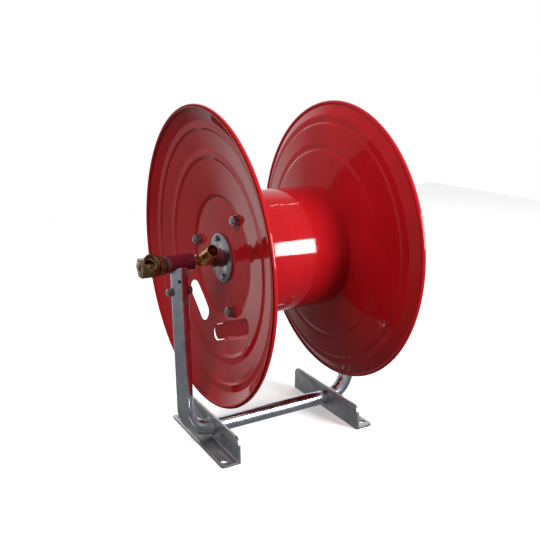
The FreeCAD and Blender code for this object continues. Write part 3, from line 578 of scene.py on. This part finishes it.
def disc_sheet():
    """Outer face of the pressed disc: a triangulated middle with its holes, and a turned rim."""
    tie_holes = [on_ring(TIE_RING, TIE_TURN + 120 * number).yz for number in range(3)]
    screw_holes = [on_ring(SCREW_RING, SCREW_TURN + 180 * number).yz for number in range(2)]
    round_holes = [(spot, TIE_HOLE) for spot in tie_holes]
    round_holes += [(spot, SCREW_HOLE) for spot in screw_holes]
    loops = [HOSE_SLOT.outline(), lead_slit()]
    loops += [ring_points(spot, radius, 1.6) for spot, radius in round_holes]
    loops.append(ring_points((0, 0), EYE, 2.6))
    rim = [
        Vector((math.cos(turn), math.sin(turn))) * SPLIT
        for turn in (2 * math.pi * step / AROUND for step in range(AROUND))
    ]
    guides = []
    for grow in (1.2, 3.0, 5.5):
        guides += HOSE_SLOT.outline(grow, 2.4)
    for grow in (-4.6, -3.4, -2.2, -1.2, 0.9, 1.9, 3.2, 5.0):
        guides += [
            point for point in LEAD.outline(grow, 2.2)
            if LEAD.local(point)[0] < LEAD_OPEN - 1.0 or grow > 0.8 or grow < -1.0
        ]
    guides += [LEAD.place(-55 + 5.0 * step, across) for step in range(23) for across in (-6, 0, 6)]
    clear = len(guides)
    radii = [20, 27, 34, 41, 48, 56, 64, 72, 80, 88, 94, 99, 102.5, 104.5, 106, 107.5, 109, 110.5,
             112.5, 115, 119, 124, 129, 134, 139, 144, 149, 154, 159, 163.5]
    kept = list(guides)
    for index, radius in enumerate(radii):
        for point in ring_points((0, 0), radius, 4.4 if radius > 50 else 6.0, (index % 2) / 2):
            near_hole = any((point - spot).length < size + 2.0 for spot, size in round_holes)
            if near_hole or HOSE_SLOT.distance(point) < 23.0 or LEAD.distance(point) < 21.5:
                continue
            kept.append(point)
    points, edges = list(kept), []
    for loop in loops + [rim]:
        first = len(points)
        points += loop
        edges += [(first + step, first + (step + 1) % len(loop)) for step in range(len(loop))]
    flat, _, faces, *_ = geometry.delaunay_2d_cdt(points, edges, [], 0, 1e-5)

    def solid(spot):
        if spot.length < EYE or HOSE_SLOT.distance(spot) < HOSE_SLOT.radius:
            return False
        if any((spot - hole).length < size for hole, size in round_holes):
            return False
        distance = LEAD.distance(spot)
        return not (LEAD.local(spot)[0] > LEAD_OPEN and SLIT_INSIDE < distance < SLIT_OUTSIDE)

    mesh = bmesh.new()
    verts = []
    for spot in flat:
        blend = lead_blend(spot)
        tip = TIP_RISE * smooth_step(LEAD.local(spot)[0], 30.0, 72.0)
        depth = face_depth(spot.length) * (1 - blend) + (LEAD_FLOOR + tip) * blend
        verts.append(mesh.verts.new((-depth, spot.x, spot.y)))
    for face in faces:
        corners = [flat[index] for index in face]
        if solid(sum(corners, Vector((0, 0))) / len(corners)):
            mesh.faces.new([verts[index] for index in face])
    outer = [(radius, depth) for radius, depth in PROFILE if radius > SPLIT + 1]
    outer = [(SPLIT, face_depth(SPLIT))] + outer
    fine = [outer[0]]
    for (r0, d0), (r1, d1) in zip(outer, outer[1:]):
        parts = max(1, round((r1 - r0) / 4.5))
        fine += [
            (r0 + (r1 - r0) * part / parts, d0 + (d1 - d0) * part / parts)
            for part in range(1, parts + 1)
        ]
    lathe(mesh, [(-depth, radius) for radius, depth in fine], AROUND, closed=False)
    bmesh.ops.remove_doubles(mesh, verts=mesh.verts, dist=0.01)
    loose = [vert for vert in mesh.verts if not vert.link_faces]
    bmesh.ops.delete(mesh, geom=loose, context="VERTS")
    bmesh.ops.recalc_face_normals(mesh, faces=mesh.faces)
    return mesh


def thicken(mesh, thickness, bevel):
    """Give a bmesh sheet its thickness toward +X, and soften the cut edges."""
    for face in mesh.faces[:]:
        if face.normal.x > 0:
            face.normal_flip()

    def add_modifiers(holder):
        solid = holder.modifiers.new("solid", "SOLIDIFY")
        solid.thickness, solid.offset, solid.use_even_offset = thickness, -1.0, True
        bevel_modifier(holder, bevel, 50)

    return modified(mesh, add_modifiers)


def disc():
    """Left disc: the pressed sheet with its rolled, hollow rim."""
    mesh = thicken(disc_sheet(), SHEET, 0.3)
    centre_x, centre_r, bead_radius, hollow = -139.5, 261.0, 4.0, 0.66
    bead = []
    for step in range(25):
        turn = math.radians(-100 + 330 * step / 24)
        bead.append((centre_x + bead_radius * math.sin(turn),
                     centre_r - bead_radius * math.cos(turn)))
    inner = [
        (centre_x + (x - centre_x) * hollow, centre_r + (radius - centre_r) * hollow)
        for x, radius in reversed(bead)
    ]
    curl = bmesh.new()
    lathe(curl, bead + inner, AROUND)
    bmesh.ops.recalc_face_normals(curl, faces=curl.faces)
    add_mesh(mesh, curl, Matrix.Identity(4))
    return mesh


RIGHT_TURN = Matrix.Rotation(math.radians(78), 4, "X") @ Matrix.Rotation(math.pi, 4, "Z")
finish_piece("left_disc_pressing", disc(), "left_disc")
right = disc()
right.transform(RIGHT_TURN)
finish_piece("right_disc_pressing", right, "right_disc")


# ---------------------------------------------------------------- reel details

def lathe_piece(name, node, profile, steps):
    """Piece turned about the axle from a closed outline of (x, radius)."""
    mesh = bmesh.new()
    lathe(mesh, profile, steps)
    finish_piece(name, mesh, node)


def box_mm(node):
    """Lowest and highest corners of a CAD node, in millimetres about the axle."""
    low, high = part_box(node)
    lift = Vector((0, 0, AXLE))
    return (low - lift) / MM, (high - lift) / MM


drum_end, drum_radius = box_mm("drum_shell")[1].x, box_mm("drum_shell")[1].y
lathe_piece("drum_wall", "drum_shell", rounded([
    (-drum_end, drum_radius - SHEET), (-drum_end, drum_radius),
    (drum_end, drum_radius), (drum_end, drum_radius - SHEET),
], 0.5, 3), 240)

TIE_PLACES = [on_ring(TIE_RING, TIE_TURN + 120 * number) for number in range(3)]
TIE_END = box_mm("tie_studs")[1].x
FLIP = Matrix.Rotation(math.pi, 4, "Z")

PLAIN_END = 84
studs, nuts, washers = bmesh.new(), bmesh.new(), bmesh.new()
for place in TIE_PLACES:
    middle_rod = bmesh.new()
    tube(middle_rod, [Vector((x, 0, 0)) for x in (-PLAIN_END, PLAIN_END)], 4.55, 32)
    add_mesh(studs, middle_rod, Matrix.Translation(place))
    for side in (Matrix.Identity(4), FLIP):
        at = Matrix.Translation(place) @ side
        add_mesh(studs, threaded(5.0, TIE_END - PLAIN_END),
                 at @ Matrix.Translation((PLAIN_END, 0, 0)))
        spin = Matrix.Rotation(math.radians(17 + place.y), 4, "X")
        add_mesh(nuts, hexagon_nut(17.0, 8.0, 5.0), at @ Matrix.Translation((100, 0, 0)) @ spin)
        add_mesh(washers, washer(10.0, 5.2, 2.0), at @ Matrix.Translation((98, 0, 0)))
finish_piece("tie_rods", studs, "tie_studs")
finish_piece("tie_nuts", nuts, "tie_stud_nuts")
finish_piece("tie_washers", washers, "tie_stud_washers")

SCREW_TURNS = ((SCREW_TURN, FLIP), (-7.0, Matrix.Identity(4)))
screws, screw_nuts = bmesh.new(), bmesh.new()
for first, side in SCREW_TURNS:
    for number in range(2):
        place = on_ring(SCREW_RING, first + 180 * number)
        at = Matrix.Translation(place) @ side
        spin = Matrix.Rotation(math.radians(20 + 13 * number), 4, "X")
        add_mesh(screws, hexagon_nut(10.0, 4.0, 0.0, both=False),
                 at @ Matrix.Translation((102, 0, 0)) @ spin)
        add_mesh(screws, threaded(3.0, 102 - 90, 1.0, 0.4, 24),
                 at @ Matrix.Translation((102, 0, 0)) @ Matrix.Rotation(math.pi, 4, "Y"))
        add_mesh(screw_nuts, hexagon_nut(10.0, 5.0, 3.0), at @ Matrix.Translation((91.5, 0, 0)))
finish_piece("hub_hexagon_screws", screws, "hub_screws")
finish_piece("hub_hexagon_nuts", screw_nuts, "hub_screw_nuts")

HUB_END = -box_mm("left_hub_flange")[0].x
PLATE_FACE = 102.2
for name, side in (("left", FLIP), ("right", Matrix.Identity(4))):
    node = f"{name}_hub_flange"
    plate = node_mesh(node)
    hub_verts = [vert for vert in plate.verts if abs(vert.co.x) > PLATE_FACE]
    bmesh.ops.delete(plate, geom=hub_verts, context="VERTS")
    bmesh.ops.holes_fill(plate, edges=[edge for edge in plate.edges if edge.is_boundary])
    plate = soften(plate, 0.5)
    finish_piece(f"{name}_hub_plate", plate, node)
    hub = bmesh.new()
    lathe(hub, rounded([(101, 11.05), (101, 15), (HUB_END, 15), (HUB_END, 11.05)], 0.8, 3), 64)
    weld_line = circle_points((102.4, 0, 0), 15.4, 75)
    tube(hub, weld_line, 1.8, closed=True, seed=len(name))
    hub.transform(side)
    # The hub tube takes the darkened red paint: painted shade.
    finish_piece(f"{name}_hub_tube", hub, node, "red_paint", material=SHADED_SLEEVE_PAINT)


# ---------------------------------------------------------------- water way

SPINDLE = [
    (-244, 7), (-244, 10.4), (-243.4, 11), (-235.5, 11), (-235.5, 9.6), (-234.3, 9.6),
    (-234.3, 11), (-231.8, 11), (-231.8, 9), (-229.2, 9), (-229.2, 11), (-227.3, 11),
    (-227.3, 9), (-224.7, 9), (-224.7, 11), (-155.4, 11), (-154.6, 8.5), (-148.4, 8.5),
    (-147.6, 11), (-99, 11), (-99, 5), (-118, 5), (-118, 7),
]
lathe_piece("spindle_turned", "water_spindle", SPINDLE, 72)

OUTLET_AT = Vector((middle("outlet_spigot").x / MM, 0, 0))
spigot = bmesh.new()
ball = [
    (-12.2 * math.cos(turn), 12.2 * math.sin(turn))
    for turn in (math.radians(2 + 88 * step / 10) for step in range(11))
]
lathe(spigot, ball + rounded([
    (0, 12.2), (19.2, 12.2), (21.0, 11.0), (50.0, 11.0), (50.0, 9.0), (18.0, 9.0), (15.5, 5.0),
    (0, 5.0),
], 1.0, 4, closed=False)[1:] + [(0, 0.05)], 72)
spigot.transform(along(on_ring(1.0, 31.0), OUTLET_AT))
finish_piece("outlet_elbow", spigot, "outlet_spigot")

collar = bmesh.new()
add_mesh(collar, hexagon_nut(30.0, 11.0, 11.0), Matrix.Translation((-220.5, 0, 0)))
finish_piece("collar_hexagon", collar, "spindle_collar_nut", material=OLD_BRASS)
thrust = bmesh.new()
add_mesh(thrust, washer(15.0, 11.1, 1.2), Matrix.Translation((-221.7, 0, 0)))
finish_piece("thrust_ring", thrust, "swivel_thrust_washer")

INLET_AXIS = on_ring(1.0, 33.0)
INLET_AT = Vector((-237.5, 0, 0))


def carve(mesh, tool):
    """Cut a threaded hole out of a bmesh."""
    data = bpy.data.meshes.new("tool")
    tool.to_mesh(data)
    tool.free()
    cutter = bpy.data.objects.new("tool", data)
    bpy.context.scene.collection.objects.link(cutter)

    def add_modifiers(holder):
        hole = holder.modifiers.new("hole", "BOOLEAN")
        hole.operation, hole.solver, hole.object = "DIFFERENCE", "EXACT", cutter

    result = modified(mesh, add_modifiers)
    bpy.data.objects.remove(cutter)
    bpy.data.meshes.remove(data)
    return result


port = threaded(13.2, 15.0, 1.81, 1.14, 72, tip=False)
bmesh.ops.recalc_face_normals(port, faces=port.faces)
port.transform(along(INLET_AXIS, INLET_AT + INLET_AXIS * 14.02))
housing = carve(soften(node_mesh("swivel_body"), 0.7), port)
finish_piece("swivel_housing", housing, "swivel_body", material=OLD_BRASS)
finish_piece("swivel_plug", soften(node_mesh("swivel_end_plug"), 0.4), "swivel_end_plug",
             material=OLD_BRASS)

finish_piece("shaft_turned", soften(node_mesh("right_shaft"), 0.6), "right_shaft")
finish_piece("shaft_ring", soften(node_mesh("right_shaft_washer"), 0.35), "right_shaft_washer")
PIN_X = 213.0
BENDS = ((0.3, -13.4), (2.2, -16.2))
pin = bmesh.new()
for lean in (1, -1):
    legs = [Vector((PIN_X + 0.75 * lean, 0, z)) for z in (13, 4, -4, -12)]
    legs += [Vector((PIN_X + (0.75 + bend) * lean, 0, z)) for bend, z in BENDS]
    loop = [
        Vector((PIN_X + 3.6 * math.sin(turn) * lean, 0, 20.2 - 3.9 * math.cos(turn)))
        for turn in (math.radians(175 - 150 * step / 12) for step in range(13))
    ]
    tube(pin, loop + legs, 0.78, 12)
finish_piece("cotter_pin", pin, "right_shaft_split_pin")


# ---------------------------------------------------------------- stand

CLAMP_Z = middle("tee_clamp_bolts").z / MM - AXLE / MM
POST_X = 181.5
TUBE_RADIUS = 15.0
HEAD_FACE = POST_X - 16.6
bolts, clamp_nuts, clamp_washers = bmesh.new(), bmesh.new(), bmesh.new()
for side in (Matrix.Identity(4), FLIP):
    at = Matrix.Translation((0, 0, CLAMP_Z)) @ side
    add_mesh(bolts, hexagon_nut(13.0, 5.3, 0.0, both=False),
             at @ Matrix.Translation((HEAD_FACE, 0, 0)) @ Matrix.Rotation(math.pi, 4, "Y"))
    add_mesh(bolts, threaded(4.0, 42.2, 1.25, 0.5, 28),
             at @ Matrix.Translation((HEAD_FACE, 0, 0)))
    spin = Matrix.Rotation(math.radians(11), 4, "X")
    add_mesh(clamp_nuts, hexagon_nut(13.0, 6.5, 4.0),
             at @ Matrix.Translation((POST_X + 16.6, 0, 0)) @ spin)
    for x in (HEAD_FACE, POST_X + TUBE_RADIUS):
        add_mesh(clamp_washers, washer(8.0, 4.2, 1.6), at @ Matrix.Translation((x, 0, 0)))
finish_piece("clamp_bolts", bolts, "tee_clamp_bolts")
finish_piece("clamp_nuts", clamp_nuts, "tee_clamp_nuts")
finish_piece("clamp_washers", clamp_washers, "tee_clamp_washers")

for node in ("left_foot", "right_foot"):
    mesh = soften(node_mesh(node), 0.7)
    side = 1 if node == "right_foot" else -1
    low = box_mm(node)[0]
    bead = bmesh.new()
    weld_line = circle_points((side * 131.7, 0, low.z + 24.5), 15.6, 80)
    tube(bead, weld_line, 2.0, closed=True, seed=side)
    add_mesh(mesh, bead, Matrix.Identity(4))
    finish_piece(f"{node}_angle", mesh, node)

for node, side in (("left_bearing_tee", -1), ("right_bearing_tee", 1)):
    low, high = box_mm(node)
    sleeve, stem, bead = bmesh.new(), bmesh.new(), bmesh.new()
    lathe(sleeve, rounded([
        (low.x, 12), (low.x, TUBE_RADIUS), (high.x, TUBE_RADIUS), (high.x, 12),
    ], 0.7, 3), 72)
    tube(stem, [Vector((side * POST_X, 0, z)) for z in (low.z, -14.0)], 13.4, 48)
    finish_piece(f"{node}_stem", stem, node)
    saddle = []
    for step in range(90):
        turn = 2 * math.pi * step / 90
        saddle.append(Vector((
            side * POST_X + TUBE_RADIUS * math.cos(turn), TUBE_RADIUS * math.sin(turn),
            -max(TUBE_RADIUS * abs(math.cos(turn)), 6.4),
        )))
    tube(bead, saddle, 2.1, closed=True, seed=3 * side)
    # The sleeve takes the darkened red paint: painted shade.
    finish_piece(f"{node}_sleeve", sleeve, node, material=SHADED_SLEEVE_PAINT)
    finish_piece(f"{node}_weld", bead, node, "tube_zinc")
finish_piece("sleeve_bushes", soften(node_mesh("axle_bushes"), 0.3), "axle_bushes")
finish_piece("grub_screws", soften(node_mesh("tee_grub_screws"), 0.4), "tee_grub_screws")


# ---------------------------------------------------------------- studio

def area_light(name, place, target, size, energy, lean=0.0):
    data = bpy.data.lights.new(name, "AREA")
    data.shape = "RECTANGLE"
    data.size, data.size_y = size
    data.energy = energy
    lamp = bpy.data.objects.new(name, data)
    bpy.context.scene.collection.objects.link(lamp)
    lamp.location = place
    turn = (Vector(target) - Vector(place)).to_track_quat("-Z", "Y").to_matrix()
    lamp.rotation_euler = (turn @ Matrix.Rotation(math.radians(lean), 3, "Z")).to_euler()
    return lamp


def studio():
    """White floor with painted shade towards the front and the far left, a strip light at the
    front right, a thin tube lamp, and two soft lamps.

    The floor and the soft lamps stay out of reflections, and the floor gives no bounced light, so
    that the low parts of the reel come out dark against the white floor.
    """
    world = bpy.data.worlds.new("studio")
    world.use_nodes = True
    tree = world.node_tree
    place = add_node(tree, "ShaderNodeTexCoord", {}).outputs["Generated"]
    toward = add_node(tree, "ShaderNodeVectorMath", {0: place, 1: (0.49, 0.87, 0.0)},
                      operation="DOT_PRODUCT").outputs["Value"]
    backdrop = add_node(tree, "ShaderNodeMapRange", {0: toward, 1: 0.56, 2: 0.74, 3: 0.38, 4: 1.0})
    height = add_node(tree, "ShaderNodeSeparateXYZ", {0: place}).outputs["Z"]
    dim = add_node(tree, "ShaderNodeMapRange", {0: height, 1: -0.34, 2: -0.20, 3: 0.45, 4: 1.0})
    light = add_node(tree, "ShaderNodeMath", {0: backdrop.outputs[0], 1: dim.outputs[0]},
                     operation="MULTIPLY")
    tree.links.new(light.outputs[0], tree.nodes["Background"].inputs["Color"])
    bpy.context.scene.world = world
    paper = Nodes("floor_paper", Roughness=0.9, Emission_Strength=0.30)
    tone = paper.noise(3.0, 3.0)
    pale = paper.mix(paper.spread(tone, 0.3, 0.7, 0.0, 1.0), (0.91, 0.91, 0.91, 1),
                     (0.94, 0.94, 0.94, 1))
    # Painted shade: towards the front and the far left the floor's colour goes dark and its glow
    # stops. This stands in for a dimmer floor.
    front = paper.reach((-0.49, -0.87, 0.0), 0.40, 0.66)
    left = paper.reach((-0.992, 0.128, 0.0), 0.53, 0.68)
    painted_floor_shade = paper.combine(front, left, "MAXIMUM")
    paper.drive("Base Color", paper.mix(painted_floor_shade, pale, (0.42, 0.42, 0.43, 1)))
    paper.drive("Emission Color", paper.mix(painted_floor_shade, (1, 1, 1, 1), (0.0, 0.0, 0.0, 1)))
    sheet = bmesh.new()
    grid(sheet, [[Vector((x, y, 0.0)) for x in (-1.8, 2.6)] for y in (-1.6, 2.4)], closed=False)
    data = bpy.data.meshes.new("floor_sweep")
    sheet.to_mesh(data)
    sheet.free()
    data.materials.append(paper.material)
    floor = bpy.data.objects.new("floor_sweep", data)
    bpy.context.scene.collection.objects.link(floor)
    floor.visible_glossy = floor.visible_diffuse = False
    centre = Vector((0, 0, AXLE))
    strip = centre + Vector((0.970, -1.650, 0.425))
    tube_lamp = centre + Vector((0.972, 0.346, 1.71))
    area_light("strip", strip, centre, (0.66, 0.73), 62, lean=-15)
    area_light("tube_lamp", tube_lamp, centre, (0.008, 0.34), 0.5, lean=-14)
    area_light("top", (0.2, 0.2, 2.8), (0.2, 0.2, 0.0), (3.2, 3.2), 36).visible_glossy = False
    area_light("left", (-1.0, -0.4, 1.6), centre, (0.9, 0.9), 17).visible_glossy = False


def camera():
    data = bpy.data.cameras.new("camera")
    data.lens = 46.70
    data.shift_x, data.shift_y = 0.0034, 0.0631
    data.clip_end = 50
    item = bpy.data.objects.new("camera", data)
    bpy.context.scene.collection.objects.link(item)
    right = Vector((0.870478, -0.492175, -0.005623))
    up = Vector((0.155019, 0.263293, 0.952179))
    back = Vector((-0.467158, -0.829723, 0.305488))
    turn = Matrix((right, up, back)).transposed().to_4x4()
    place = Vector((-0.6235, -1.0995, 0.3020 + AXLE))
    item.matrix_world = Matrix.Translation(place) @ turn
    bpy.context.scene.camera = item


studio()
camera()
bpy.context.scene.view_settings.view_transform = "Standard"
